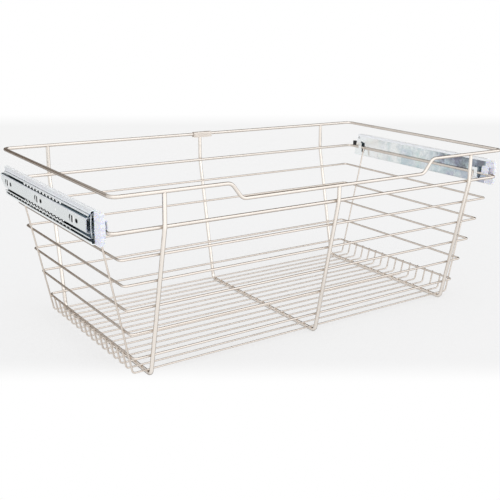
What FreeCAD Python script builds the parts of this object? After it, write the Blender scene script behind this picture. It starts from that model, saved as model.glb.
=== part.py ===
import FreeCAD, Part
import math
import os
import Sketcher

# Pull-out closet basket: a welded wire basket hung by its second hoop between two
# three-member ball slides. Millimetres, +X right, +Y to the rear, +Z up, and the
# origin on the floor below the middle of the basket. The basket's front faces -Y.

os.makedirs("parts", exist_ok=True)
Vector = FreeCAD.Vector
doc = FreeCAD.newDocument("ClosetBasket")
sheet = doc.addObject("Spreadsheet::Sheet", "Sizes")

BASE_WIRES = 16
THIN_HOOPS = 5
SPANS = {"left": (-1, None), "centre": (0, "centre_rib_tilt"), "right": (1, "right_rib_tilt")}

# Sizes of the wire basket
BASKET_SIZES = [
    ("basket_width", "750"),
    ("basket_depth", "406.4"),
    ("basket_height", "279.4"),
    ("weld_gap", "0.05"),
    ("rim_radius", "2.6"),
    ("rim_bend", "10"),
    ("dip_depth", "23.5"),
    ("dip_edge", "197"),
    ("dip_run", "19"),
    ("dip_bend", "14"),
    ("rib_radius", "3"),
    ("rib_edge", "76"),
    ("rib_foot_half", "155"),
    ("centre_rib_tilt", "-0.7"),
    ("right_rib_tilt", "-1.5"),
    ("rib_knee_bend", "25"),
    ("rib_foot_bend", "9"),
    ("top_hoop_radius", "2.4"),
    ("top_hoop_drop", "48.1"),
    ("top_hoop_bend", "9.5"),
    ("hoop_radius", "1.7"),
    ("hoop_pitch", "38.7"),
    ("last_hoop_pitch", "41"),
    ("hoop_bend", "5.5"),
    ("base_radius", "1.3"),
    ("base_pitch", "19.5"),
    ("base_taper", "52"),
    ("base_bend", "5"),
    ("upright_overrun", "2"),
    ("splice_length", "38"),
    ("splice_shift", "1"),
    ("splice_sheet", "0.9"),
    ("splice_skirt", "6"),
]

# Places of the wires, worked out from the sizes above
BASKET_PLACES = [
    ("rim_half_width", "basket_width / 2 - rim_radius"),
    ("rim_half_depth", "basket_depth / 2 - rim_radius"),
    ("rim_level", "basket_height - rim_radius"),
    ("dip_half", "basket_width / 2 - dip_edge"),
    ("rib_spacing", "basket_width / 2 - rib_edge"),
    ("base_foot_half", "basket_width / 2 - base_taper"),
    ("dip_level", "rim_level - dip_depth"),
    ("top_hoop_level", "rim_level - top_hoop_drop"),
    ("rib_foot_level", "rib_radius"),
    ("rib_half_depth", "rim_half_depth"),
    ("rib_lean", "(rib_half_depth - rib_foot_half) / (top_hoop_level - rib_foot_level)"),
    ("rib_slant", "sqrt(1 + rib_lean ^ 2)"),
    ("knee_sag", "rib_knee_bend * rib_lean ^ 2 / 8"),
    ("base_level", "2 * rib_radius + base_radius + weld_gap"),
    ("base_row_half", "base_pitch * (%d - 1) / 2" % BASE_WIRES),
    ("top_hoop_half_width", "rim_half_width"),
    ("top_hoop_half_depth",
     "rib_half_depth - rib_radius - top_hoop_radius - knee_sag - weld_gap"),
    ("side_guess",
     "(top_hoop_half_width - top_hoop_radius - base_radius - base_foot_half)"
     " / (top_hoop_level - base_level)"),
    ("upright_top_half",
     "top_hoop_half_width - (top_hoop_radius + base_radius) * sqrt(1 + side_guess ^ 2) - weld_gap"),
    ("side_lean", "(upright_top_half - base_foot_half) / (top_hoop_level - base_level)"),
    ("side_slant", "sqrt(1 + side_lean ^ 2)"),
    ("last_hoop_level",
     "top_hoop_level - hoop_pitch * (%d - 1) - last_hoop_pitch" % THIN_HOOPS),
]

# Sizes of the slides: a wide channel on the basket, a middle channel, and a narrow
# channel that is screwed to the closet, with two rows of balls between each pair
SLIDE_SIZES = [
    ("sheet_thick", "1.2"),
    ("slide_rise", "4"),
    ("seat_gap", "0.1"),
    ("run_gap", "0.03"),
    ("layer_gap", "0.3"),
    ("slide_thick", "12.7"),
    ("channel_height", "45"),
    ("channel_length", "350"),
    ("channel_front", "-168"),
    ("channel_reach", "12"),
    ("channel_lip", "4.4"),
    ("channel_bend", "3.2"),
    ("channel_slant", "10"),
    ("channel_trim", "26"),
    ("tail_hole", "3"),
    ("tail_hole_front", "336.5"),
    ("tail_hole_rise", "15.5"),
    ("ball_diameter", "4.76"),
    ("middle_length", "322"),
    ("middle_bend", "2"),
    ("middle_lip", "3"),
    ("middle_setback", "8"),
    ("closet_length", "332"),
    ("closet_bend", "3.2"),
    ("closet_trim", "19"),
    ("closet_trim_tall", "11"),
    ("closet_setback", "12"),
    ("cage_sheet", "0.4"),
    ("pocket_gap", "0.15"),
    ("outer_cage_front", "-98"),
    ("outer_cage_length", "256"),
    ("outer_ball_across", "6"),
    ("outer_ball_pitch", "12.6"),
    ("inner_cage_front", "-76"),
    ("inner_cage_length", "152"),
    ("inner_ball_across", "7"),
    ("inner_ball_pitch", "12.6"),
    ("cage_rim", "0.9"),
    ("screw_hole", "5"),
    ("screw_front", "42"),
    ("screw_pitch", "128"),
    ("slit_behind", "15"),
    ("slit_tall", "8"),
    ("slit_wide", "1.8"),
    ("lance_behind", "21.5"),
    ("lance_tall", "8"),
    ("lance_wide", "1.6"),
    ("lance_bow", "2"),
    ("pilot_hole", "2.6"),
    ("pilot_front", "114"),
    ("hook_width", "11"),
    ("hook_inset", "12.5"),
    ("hook_root", "14.4"),
    ("hook_top", "6"),
    ("hook_window", "8.8"),
    ("hook_window_slope", "3.5"),
    ("hook_strap", "7.2"),
    ("hook_run", "3.6"),
    ("clip_height", "43.4"),
    ("clip_depth", "20"),
    ("clip_thick", "6.5"),
    ("clip_wave", "0.9"),
    ("clip_bow", "2.6"),
    ("clip_corner", "1.6"),
    ("clip_wall", "1.7"),
    ("clip_grip", "12"),
    ("clip_grip_back", "2.5"),
    ("clip_grip_rise", "15"),
    ("tongue_thick", "0.7"),
    ("tongue_half", "16"),
    ("tongue_back", "5"),
    ("bumper_tall", "9.2"),
    ("bumper_rise", "1.3"),
    ("bumper_long", "27.5"),
    ("bumper_stem", "12"),
    ("bumper_thick", "5.4"),
]

SLIDE_PLACES = [
    ("slide_face", "top_hoop_half_width + top_hoop_radius + seat_gap"),
    ("slide_level", "top_hoop_level + slide_rise"),
    ("channel_half", "channel_height / 2"),
    ("channel_inside", "channel_half - sheet_thick"),
    ("outer_ball_level", "channel_inside - ball_diameter / 2"),
    ("middle_half", "channel_inside - ball_diameter"),
    ("middle_inside", "middle_half - sheet_thick"),
    ("inner_ball_level", "middle_inside - ball_diameter / 2"),
    ("closet_half", "middle_inside - ball_diameter"),
    ("ball_radius", "ball_diameter / 2 - run_gap"),
    ("outer_cage_web", "sheet_thick + layer_gap"),
    ("middle_web", "outer_cage_web + cage_sheet + layer_gap"),
    ("inner_cage_web", "middle_web + sheet_thick + layer_gap"),
    ("closet_edge", "inner_cage_web + cage_sheet + layer_gap"),
    ("closet_web", "slide_thick - sheet_thick"),
    ("middle_reach", "closet_web - layer_gap"),
    ("middle_front", "channel_front + middle_setback"),
    ("closet_front", "channel_front + closet_setback"),
    ("pocket_half", "ball_diameter / 2 + pocket_gap"),
    ("hoop_across", "0 - top_hoop_radius - seat_gap"),
    ("hook_inner", "hoop_across - top_hoop_radius - seat_gap"),
]


def fill_sheet():
    """Write each named value in its own row, with the name as its alias."""
    row = 0
    for group in (BASKET_SIZES, BASKET_PLACES, SLIDE_SIZES, SLIDE_PLACES):
        for name, text in group:
            row += 1
            formula = group is BASKET_PLACES or group is SLIDE_PLACES
            sheet.set("A%d" % row, name)
            sheet.set("B%d" % row, "=" + text if formula else text)
            sheet.setAlias("B%d" % row, name)
    doc.recompute()


def named(text):
    """Turn a formula of bare size names into one that objects can bind to."""
    words = []
    word = ""
    for letter in text + " ":
        if letter.isalnum() or letter == "_":
            word += letter
            continue
        words.append("Sizes." + word if word and not word[0].isdigit() and word != "sqrt" else word)
        words.append(letter)
        word = ""
    return "".join(words).strip()


def value(text):
    return float(sheet.evalExpression(named(text)))


def bind(item, prop, text):
    item.setExpression(prop, named(text))


# Sketches: each lies on a plane of its own body's origin, and every corner is held
# by a point whose two distances are bound to the sheet

def origin_part(body, role):
    return [f for f in body.Origin.OriginFeatures if f.Role == role][0]


def new_sketch(body, name, role, offset=None):
    sketch = body.newObject("Sketcher::SketchObject", name)
    sketch.AttachmentSupport = [(origin_part(body, role), "")]
    sketch.MapMode = "FlatFace"
    if offset:
        bind(sketch, "AttachmentOffset.Base.z", offset)
    return sketch


def hold(sketch, geometry, point, across, up):
    for kind, text in (("DistanceX", across), ("DistanceY", up)):
        rule = Sketcher.Constraint(kind, -1, 1, geometry, point, value(text))
        bind(sketch, "Constraints[%d]" % sketch.addConstraint(rule), text)


def hold_radius(sketch, geometry, radius):
    rule = Sketcher.Constraint("Radius", geometry, value(radius))
    bind(sketch, "Constraints[%d]" % sketch.addConstraint(rule), radius)


def draw_circle(sketch, across, up, radius):
    centre = Vector(value(across), value(up), 0)
    round_line = Part.Circle(centre, Vector(0, 0, 1), value(radius))
    circle = sketch.addGeometry(round_line, False)
    hold(sketch, circle, 3, across, up)
    hold_radius(sketch, circle, radius)


def bend_points(before, corner, after, radius):
    """Where a bend of this radius leaves and joins the two straights at a corner."""
    back = (before - corner).normalize()
    ahead = (after - corner).normalize()
    half = back.getAngle(ahead) / 2
    reach = radius / math.tan(half)
    centre = corner + (back + ahead).normalize() * (radius / math.sin(half))
    turn = (corner - before).cross(after - corner).z
    return corner + back * reach, corner + ahead * reach, centre, turn > 0


def draw_line(sketch, corners, bends, closed):
    """Draw straights between the corners, with a tangent arc where a corner has a bend."""
    points = [Vector(value(across), value(up), 0) for across, up in corners]
    count = len(points)
    cuts = {}
    for i in range(count):
        if bends[i]:
            cuts[i] = bend_points(points[i - 1], points[i], points[(i + 1) % count], value(bends[i]))
    straights = []
    for i in range(count if closed else count - 1):
        j = (i + 1) % count
        start = cuts[i][1] if i in cuts else points[i]
        end = cuts[j][0] if j in cuts else points[j]
        straights.append(sketch.addGeometry(Part.LineSegment(start, end), False))
    marks = []
    for i in range(count):
        marks.append(sketch.addGeometry(Part.Point(points[i]), True))
        hold(sketch, marks[i], 1, *corners[i])
    for i, (start, end, centre, left) in cuts.items():
        first, last = (start - centre, end - centre) if left else (end - centre, start - centre)
        round_line = Part.Circle(centre, Vector(0, 0, 1), value(bends[i]))
        arc = Part.ArcOfCircle(round_line, math.atan2(first.y, first.x), math.atan2(last.y, last.x))
        bend = sketch.addGeometry(arc, False)
        enter, leave = (1, 2) if left else (2, 1)
        sketch.addConstraint(Sketcher.Constraint("Tangent", straights[i - 1], 2, bend, enter))
        sketch.addConstraint(Sketcher.Constraint("Tangent", bend, leave, straights[i], 1))
        hold_radius(sketch, bend, bends[i])
    for i, straight in enumerate(straights):
        for corner, end in ((i, 1), ((i + 1) % count, 2)):
            if corner in cuts:
                rule = Sketcher.Constraint("PointOnObject", marks[corner], 1, straight)
            else:
                rule = Sketcher.Constraint("Coincident", marks[corner], 1, straight, end)
            sketch.addConstraint(rule)


def new_body(label):
    body = doc.addObject("PartDesign::Body", label)
    body.Label = label
    return body


def place(item, across="0", along="0", up="0"):
    for axis, text in (("x", across), ("y", along), ("z", up)):
        bind(item, "Placement.Base.%s" % axis, text)


def sweep(body, path, role, offset, across, up, radius):
    """Sweep a round wire along a path from a circle on the given plane."""
    section = new_sketch(body, body.Label + "_section", role, offset)
    draw_circle(section, across, up, radius)
    pipe = body.newObject("PartDesign::AdditivePipe", body.Label + "_pipe")
    pipe.Profile = section
    pipe.Spine = (path, [])
    body.Tip = pipe
    return pipe


def pad(body, sketch, length, reverse=False, both=False):
    feature = body.newObject("PartDesign::Pad", sketch.Name + "_pad")
    feature.Profile = sketch
    bind(feature, "Length", length)
    feature.Reversed = reverse
    feature.Midplane = both
    body.Tip = feature
    return feature


def cut_through(body, sketch):
    feature = body.newObject("PartDesign::Pocket", sketch.Name + "_cut")
    feature.Profile = sketch
    feature.Type = 1
    feature.Midplane = True
    body.Tip = feature
    return feature


def repeat(body, feature, length, count):
    """Repeat a feature along the slide."""
    row = body.newObject("PartDesign::LinearPattern", feature.Name + "_row")
    row.Originals = [feature]
    row.Direction = (origin_part(body, "Y_Axis"), [""])
    bind(row, "Length", length)
    row.Occurrences = count
    body.Tip = row
    return row


# Wires of the basket

def make_rim():
    """Heavy top wire: a level loop at the back and sides, and a dipped front."""
    body = new_body("rim_wire")
    place(body, up="rim_level")
    side, rear = "rim_half_width", "rim_half_depth"
    start = "dip_half + 3 * dip_run"
    loop = new_sketch(body, "rim_loop", "XY_Plane")
    corners = [
        ("-(%s)" % start, "-" + rear),
        ("-" + side, "-" + rear),
        ("-" + side, rear),
        (side, rear),
        (side, "-" + rear),
        (start, "-" + rear),
    ]
    draw_line(loop, corners, [None] + ["rim_bend"] * 4 + [None], False)
    sweep(body, loop, "YZ_Plane", "-(%s)" % start, "-" + rear, "0", "rim_radius")
    dip = new_sketch(body, "rim_dip", "XZ_Plane", rear)
    shoulder = "dip_half + dip_run"
    corners = [
        ("-(%s)" % start, "0"),
        ("-(%s)" % shoulder, "0"),
        ("-dip_half", "-dip_depth"),
        ("dip_half", "-dip_depth"),
        (shoulder, "0"),
        (start, "0"),
    ]
    draw_line(dip, corners, [None] + ["dip_bend"] * 4 + [None], False)
    section = new_sketch(body, "rim_dip_section", "YZ_Plane", "-(%s)" % start)
    draw_circle(section, "-" + rear, "0", "rim_radius")
    pipe = body.newObject("PartDesign::AdditivePipe", "rim_dip_pipe")
    pipe.Profile = section
    pipe.Spine = (dip, [])
    body.Tip = pipe
    return body


def make_splice():
    """Folded strip that covers the butt joint of the rim at the back."""
    body = new_body("rim_splice")
    place(body, across="splice_shift", along="rim_half_depth", up="rim_level")
    sketch = new_sketch(body, "splice_section", "YZ_Plane")
    inside = "rib_radius + weld_gap"
    outside = "rib_radius + weld_gap + splice_sheet"
    corners = [
        ("-(%s)" % outside, "-splice_skirt"),
        ("-(%s)" % inside, "-splice_skirt"),
        ("-(%s)" % inside, inside),
        (inside, inside),
        (inside, "-splice_skirt"),
        (outside, "-splice_skirt"),
        (outside, outside),
        ("-(%s)" % outside, outside),
    ]
    bends = [None, None, "rim_radius - 1", "rim_radius - 1", None, None, "rim_radius - 0.4", "rim_radius - 0.4"]
    draw_line(sketch, corners, bends, True)
    pad(body, sketch, "splice_length", both=True)
    return body


def make_hoop(label, level, half_width, half_depth, radius, bend):
    body = new_body(label)
    place(body, up=level)
    path = new_sketch(body, label + "_path", "XY_Plane")
    corners = [
        ("-(%s)" % half_width, "-(%s)" % half_depth),
        (half_width, "-(%s)" % half_depth),
        (half_width, half_depth),
        ("-(%s)" % half_width, half_depth),
    ]
    draw_line(path, corners, [bend] * 4, True)
    sweep(body, path, "YZ_Plane", None, "-(%s)" % half_depth, "0", radius)
    return body


def make_hoops():
    hoops = [make_hoop("hoop_2", "top_hoop_level", "top_hoop_half_width", "top_hoop_half_depth",
                       "top_hoop_radius", "top_hoop_bend")]
    for i in range(1, THIN_HOOPS + 1):
        fall = "hoop_pitch * %d" % i
        if i == THIN_HOOPS:
            fall = "(hoop_pitch * %d + last_hoop_pitch)" % (i - 1)
        half_width = ("upright_top_half - %s * side_lean"
                      " - (base_radius + hoop_radius) * side_slant - weld_gap" % fall)
        half_depth = ("rib_half_depth - %s * rib_lean"
                      " - (rib_radius + hoop_radius) * rib_slant - weld_gap" % fall)
        hoops.append(make_hoop("hoop_%d" % (i + 2), "top_hoop_level - %s" % fall,
                               half_width, half_depth, "hoop_radius", "hoop_bend"))
    return hoops


def make_rib(name, turn, tilt):
    """U-shaped frame wire: down the front wall, under the base and up the back.

    The centre and right ones are welded on with their tops a little to the left.
    """
    body = new_body("rib_" + name)
    place(body, across="rib_spacing * %d" % turn)
    if tilt:
        body.Placement.Rotation = FreeCAD.Rotation(Vector(0, 1, 0), value(tilt))
        bind(body, "Placement.Rotation.Angle", tilt)
    path = new_sketch(body, body.Label + "_path", "YZ_Plane")
    front_top = "rim_level" if turn else "dip_level"
    corners = [
        ("-rib_half_depth", front_top + " - rim_radius - weld_gap"),
        ("-rib_half_depth", "top_hoop_level"),
        ("-rib_foot_half", "rib_foot_level"),
        ("rib_foot_half", "rib_foot_level"),
        ("rib_half_depth", "top_hoop_level"),
        ("rib_half_depth", "rim_level - rim_radius - weld_gap"),
    ]
    bends = [None, "rib_knee_bend", "rib_foot_bend", "rib_foot_bend", "rib_knee_bend", None]
    draw_line(path, corners, bends, False)
    sweep(body, path, "XZ_Plane", None, "0", "rib_foot_level", "rib_radius")
    return body


def make_base_wire(number):
    """Thin wire across the base, turned up at both ends outside the lowest hoop.

    The first and last run on up the side walls to the second hoop.
    """
    body = new_body("base_wire_%02d" % number)
    place(body, along="base_row_half - base_pitch * %d" % (number - 1), up="base_level")
    path = new_sketch(body, body.Label + "_path", "XZ_Plane")
    if number in (1, BASE_WIRES):
        top = "top_hoop_level + upright_overrun"
    else:
        top = "last_hoop_level + hoop_radius"
    rise = "%s - base_level" % top
    spread = "base_foot_half + (%s) * side_lean" % rise
    corners = [
        ("-(%s)" % spread, rise),
        ("-base_foot_half", "0"),
        ("base_foot_half", "0"),
        (spread, rise),
    ]
    draw_line(path, corners, [None, "base_bend", "base_bend", None], False)
    sweep(body, path, "YZ_Plane", None, "0", "0", "base_radius")
    return body


# Slide members. Each right-hand piece is drawn in the slide's own frame: +X runs
# from the basket to the closet, and the left-hand one is its mirror image.

def channel_section(body, near, far, half, lip, bend, opens_out):
    """Folded-sheet channel between two faces, opening to the closet or to the basket."""
    sketch = new_sketch(body, body.Label + "_section", "XZ_Plane")
    sheet_in = "sheet_thick"
    inner_half = "%s - %s" % (half, sheet_in)
    web, edge = (near, far) if opens_out else (far, near)
    web_inside = "%s %s %s" % (web, "+" if opens_out else "-", sheet_in)
    lip_inside = "%s %s %s" % (edge, "-" if opens_out else "+", sheet_in)
    tight = "%s - %s" % (bend, sheet_in)
    if lip:
        corners = [
            (web, "-(%s)" % half), (edge, "-(%s)" % half),
            (edge, "-(%s - %s)" % (half, lip)), (lip_inside, "-(%s - %s)" % (half, lip)),
            (lip_inside, "-(%s)" % inner_half), (web_inside, "-(%s)" % inner_half),
            (web_inside, inner_half), (lip_inside, inner_half),
            (lip_inside, "%s - %s" % (half, lip)), (edge, "%s - %s" % (half, lip)),
            (edge, half), (web, half),
        ]
        bends = [bend, bend, None, None, tight, tight, tight, tight, None, None, bend, bend]
    else:
        corners = [
            (web, "-(%s)" % half), (edge, "-(%s)" % half),
            (edge, "-(%s)" % inner_half), (web_inside, "-(%s)" % inner_half),
            (web_inside, inner_half), (edge, inner_half),
            (edge, half), (web, half),
        ]
        bends = [bend, None, None, tight, tight, None, None, bend]
    draw_line(sketch, corners, bends, True)
    return sketch


def slide_body(label, front):
    body = new_body(label)
    place(body, across="slide_face", along=front, up="slide_level")
    return body


def rectangle(sketch, left, right, low, high):
    corners = [(left, low), (right, low), (right, high), (left, high)]
    draw_line(sketch, corners, [None] * 4, True)


def make_basket_channel():
    """Wide channel against the second hoop, with two lanced hooks that hold the hoop."""
    body = slide_body("basket_channel_right", "channel_front")
    section = channel_section(body, "0", "channel_reach", "channel_half", "channel_lip",
                              "channel_bend", True)
    pad(body, section, "channel_length", reverse=True)
    rear = "channel_length - hook_inset - hook_width - channel_slant * 0.7"
    places = {"front": ("hook_inset", "0"), "rear": (rear, "hook_width - hook_strap")}
    for name, (start, aside) in places.items():
        window = new_sketch(body, "hook_window_" + name, "YZ_Plane")
        corners = [
            (start, "-hook_root"), ("%s + hook_width" % start, "-hook_root"),
            ("%s + hook_width" % start, "hook_window"), (start, "hook_window - hook_window_slope"),
        ]
        draw_line(window, corners, [None] * 4, True)
        cut_through(body, window)
        strap = new_sketch(body, "hook_strap_" + name, "XZ_Plane", "-(%s + %s)" % (start, aside))
        corners = [
            ("sheet_thick", "-hook_root"),
            ("0", "-hook_root"),
            ("hook_inner", "-hook_root + hook_run"),
            ("hook_inner", "hook_top"),
            ("hook_inner - sheet_thick", "hook_top"),
            ("hook_inner - sheet_thick", "-hook_root + hook_run - sheet_thick / 2"),
            ("0", "-hook_root - sheet_thick"),
            ("sheet_thick", "-hook_root - sheet_thick"),
        ]
        draw_line(strap, corners, [None] * 8, True)
        pad(body, strap, "hook_strap", reverse=True)
    tail = new_sketch(body, "channel_tail", "YZ_Plane")
    corners = [
        ("channel_length", "0 - channel_half"), ("channel_length + channel_slant", "0 - channel_half"),
        ("channel_length + channel_slant", "channel_half + 1"),
        ("channel_length - channel_slant", "channel_half + 1"),
        ("channel_length - channel_slant", "channel_half"),
    ]
    draw_line(tail, corners, [None] * 5, True)
    cut_through(body, tail)
    trim = new_sketch(body, "flange_trim", "XY_Plane")
    corners = [
        ("channel_bend", "channel_length"), ("channel_reach", "channel_length - channel_trim"),
        ("channel_reach + 1", "channel_length - channel_trim"), ("channel_reach + 1", "channel_length"),
    ]
    draw_line(trim, corners, [None] * 4, True)
    cut_through(body, trim)
    hole = new_sketch(body, "tail_hole", "YZ_Plane")
    draw_circle(hole, "tail_hole_front", "tail_hole_rise", "tail_hole / 2")
    cut_through(body, hole)
    return body


def make_middle_channel():
    body = slide_body("middle_channel_right", "middle_front")
    section = channel_section(body, "middle_web", "middle_reach", "middle_half", "middle_lip",
                              "middle_bend", True)
    pad(body, section, "middle_length", reverse=True)
    return body


def make_closet_channel():
    """Narrow channel with three screw holes on a 128 mm pitch and its lanced slits."""
    body = slide_body("closet_channel_right", "closet_front")
    section = channel_section(body, "closet_edge", "slide_thick", "closet_half", None,
                              "closet_bend", False)
    pad(body, section, "closet_length", reverse=True)
    holes = new_sketch(body, "closet_holes", "YZ_Plane")
    for i in range(3):
        along = "screw_front - closet_setback + screw_pitch * %d" % i
        draw_circle(holes, along, "0", "screw_hole / 2")
        slit = "%s + slit_behind" % along
        rectangle(holes, "%s - slit_wide / 2" % slit, "%s + slit_wide / 2" % slit,
                  "-slit_tall / 2", "slit_tall / 2")
        lance = "%s + lance_behind" % along
        corners = [
            ("%s - lance_wide / 2" % lance, "-lance_tall / 2"),
            ("%s + lance_wide / 2" % lance, "-lance_tall / 2"),
            ("%s + lance_wide / 2 + lance_bow" % lance, "0"),
            ("%s + lance_wide / 2" % lance, "lance_tall / 2"),
            ("%s - lance_wide / 2" % lance, "lance_tall / 2"),
            ("%s - lance_wide / 2 + lance_bow" % lance, "0"),
        ]
        draw_line(holes, corners, [None, None, "lance_tall / 2", None, None, "lance_tall / 2"], True)
    draw_circle(holes, "pilot_front - closet_setback", "0", "pilot_hole / 2")
    cut_through(body, holes)
    corner = new_sketch(body, "closet_corner", "YZ_Plane")
    corners = [
        ("closet_length - closet_trim", "0 - closet_half"),
        ("closet_length + 1", "0 - closet_half"),
        ("closet_length + 1", "closet_half"),
        ("closet_length", "closet_half"),
        ("closet_length - closet_trim / 6", "closet_trim_tall - closet_half"),
    ]
    draw_line(corner, corners, [None, None, None, None, "closet_trim / 2"], True)
    cut_through(body, corner)
    return body


def make_cage(label, front, length, web, reach, level, ball_across, pitch, count):
    """Thin U-shaped retainer with a pocket for each ball of both rows."""
    body = slide_body(label, front)
    sketch = new_sketch(body, label + "_section", "XZ_Plane")
    half = "%s + cage_sheet / 2" % level
    inner = "%s - cage_sheet / 2" % level
    corners = [
        (web, "-(%s)" % half), (reach, "-(%s)" % half),
        (reach, "-(%s)" % inner), ("%s + cage_sheet" % web, "-(%s)" % inner),
        ("%s + cage_sheet" % web, inner), (reach, inner),
        (reach, half), (web, half),
    ]
    draw_line(sketch, corners, [None] * 8, True)
    pad(body, sketch, length, reverse=True)
    first = "(%s - %s * %d) / 2" % (length, pitch, count - 1)
    pocket = new_sketch(body, label + "_pocket", "XY_Plane")
    rectangle(pocket, "%s - pocket_half" % ball_across, "%s + pocket_half" % ball_across,
              "%s - pocket_half" % first, "%s + pocket_half" % first)
    repeat(body, cut_through(body, pocket), "%s * %d" % (pitch, count - 1), count)
    return body


def faceted_ball(centre, radius):
    """A ball with few faces: a six-sided band between two smaller caps."""
    rings = []
    for height, width in ((-0.92, 0.4), (-0.42, 0.96), (0.42, 0.96), (0.92, 0.4)):
        points = []
        for i in range(7):
            angle = math.radians(60 * i)
            points.append(Vector(width * radius * math.cos(angle), height * radius,
                                 width * radius * math.sin(angle)))
        rings.append(Part.makePolygon([centre + p for p in points]))
    return Part.makeLoft(rings, True, True)


def make_balls(label, front, length, across, level, pitch, count):
    """Both rows of balls of one cage, as one compound that rides with the cage."""
    balls = []
    first = (value(length) - value(pitch) * (count - 1)) / 2
    for side in (-1, 1):
        for i in range(count):
            centre = Vector(value(across), first + value(pitch) * i, side * value(level))
            balls.append(faceted_ball(centre, value("ball_radius")))
    row = doc.addObject("Part::Feature", label)
    row.Label = label
    row.Shape = Part.makeCompound(balls)
    place(row, across="slide_face", along=front, up="slide_level")
    return row


def make_clip():
    """Translucent plastic end clip: a ridged block, a tongue in the channel, a hoop finger."""
    body = slide_body("front_clip_right", "channel_front")
    block = new_sketch(body, "clip_block", "YZ_Plane", "seat_gap")
    ridges = 5
    corners = [("0 - seat_gap", "clip_height / 2"), ("0 - seat_gap", "-clip_height / 2")]
    for i in range(-ridges, ridges + 1):
        wave = "0" if i % 2 == ridges % 2 else "clip_wave"
        across = "clip_bow * %d / %d + %s - clip_depth" % (i * i, ridges * ridges, wave)
        corners.append((across, "clip_height * %d / %d" % (i, 2 * ridges)))
    bends = [None, None, "clip_corner"] + ["clip_height / 6"] * (2 * ridges - 1) + ["clip_corner"]
    draw_line(block, corners, bends, True)
    pad(body, block, "clip_thick - seat_gap")
    tongue = new_sketch(body, "clip_tongue", "XZ_Plane", "-tongue_back")
    rectangle(tongue, "sheet_thick + seat_gap", "sheet_thick + seat_gap + tongue_thick",
              "-tongue_half", "tongue_half")
    pad(body, tongue, "tongue_back + clip_depth / 2")
    grip = new_sketch(body, "clip_grip", "XZ_Plane", "-clip_grip_back")
    hoop = "-slide_rise"
    inner = "top_hoop_radius + seat_gap / 2"
    outer = "top_hoop_radius + clip_wall"
    draw_grip(grip, "hoop_across", hoop, inner, outer)
    pad(body, grip, "clip_grip + clip_grip_back")
    root = new_sketch(body, "clip_grip_root", "XZ_Plane", "seat_gap")
    top = "%s + clip_grip_rise" % hoop
    rectangle(root, "0 - seat_gap", "clip_thick / 2", "%s - clip_wall" % top, top)
    pad(body, root, "clip_grip - seat_gap")
    return body


def draw_grip(sketch, across, up, inner, outer):
    """A finger from the block, out above the hoop and down its far side."""
    left = "%s - (%s)" % (across, outer)
    left_in = "%s - (%s)" % (across, inner)
    top = "%s + clip_grip_rise" % up
    top_in = "%s + clip_grip_rise - clip_wall" % up
    low = "%s + %s / 2" % (up, "top_hoop_radius")
    corners = [
        ("0 - seat_gap", top), (left, top), (left, low),
        (left_in, low), (left_in, top_in), ("0 - seat_gap", top_in),
    ]
    bends = [None, "clip_wall * 2", None, None, "clip_wall", None]
    draw_line(sketch, corners, bends, True)


def make_bumper():
    """Rubber stop: a stem in the closet channel's rear end, a head behind the middle channel."""
    body = slide_body("rear_bumper_right", "middle_front + middle_length + layer_gap")
    low, high = "bumper_rise - bumper_tall / 2", "bumper_rise + bumper_tall / 2"
    head = new_sketch(body, "bumper_head", "XZ_Plane")
    rectangle(head, "middle_web", "middle_web + bumper_thick", low, high)
    pad(body, head, "bumper_long", reverse=True)
    stem = new_sketch(body, "bumper_stem", "XZ_Plane")
    rectangle(stem, "inner_cage_web", "closet_web - seat_gap / 2", low, high)
    pad(body, stem, "bumper_stem")
    return body


def mirrored(item, name):
    """The same piece on the other side of the basket."""
    twin = doc.addObject("Part::Mirroring", name)
    twin.Label = name
    twin.Source = item
    twin.Normal = Vector(1, 0, 0)
    return twin


def make_slides():
    outer_count, inner_count = 20, 12
    right = [
        make_basket_channel(),
        make_middle_channel(),
        make_closet_channel(),
        make_cage("outer_cage_right", "outer_cage_front", "outer_cage_length", "outer_cage_web",
                  "outer_ball_across + pocket_half + cage_rim", "outer_ball_level",
                  "outer_ball_across", "outer_ball_pitch", outer_count),
        make_balls("outer_balls_right", "outer_cage_front", "outer_cage_length",
                   "outer_ball_across", "outer_ball_level", "outer_ball_pitch", outer_count),
        make_cage("inner_cage_right", "inner_cage_front", "inner_cage_length", "inner_cage_web",
                  "inner_ball_across + pocket_half + cage_rim", "inner_ball_level",
                  "inner_ball_across", "inner_ball_pitch", inner_count),
        make_balls("inner_balls_right", "inner_cage_front", "inner_cage_length",
                   "inner_ball_across", "inner_ball_level", "inner_ball_pitch", inner_count),
        make_clip(),
        make_bumper(),
    ]
    return right + [mirrored(item, item.Label.replace("_right", "_left")) for item in right]


def check(item):
    for state in item.State:
        if state in ("Invalid", "Error", "Touched"):
            raise RuntimeError("%s is %s" % (item.Label, state))
    shape = getattr(item, "Shape", None)
    if shape is not None and (shape.isNull() or not shape.isValid()):
        raise RuntimeError("%s has no valid shape" % item.Label)


fill_sheet()
pieces = [make_rim(), make_splice()] + make_hoops()
pieces += [make_rib(name, turn, tilt) for name, (turn, tilt) in SPANS.items()]
pieces += [make_base_wire(number) for number in range(1, BASE_WIRES + 1)]
pieces += make_slides()
doc.recompute()
for item in doc.Objects:
    if item.TypeId != "App::Origin" and not item.TypeId.startswith("App::"):
        check(item)
for piece in pieces:
    piece.Shape.exportStep("parts/%s.step" % piece.Label)
    print(piece.Label, len(piece.Shape.Solids), round(piece.Shape.Volume, 1))
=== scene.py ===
import math

import bmesh
import bpy
from mathutils import Matrix, Vector


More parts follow.
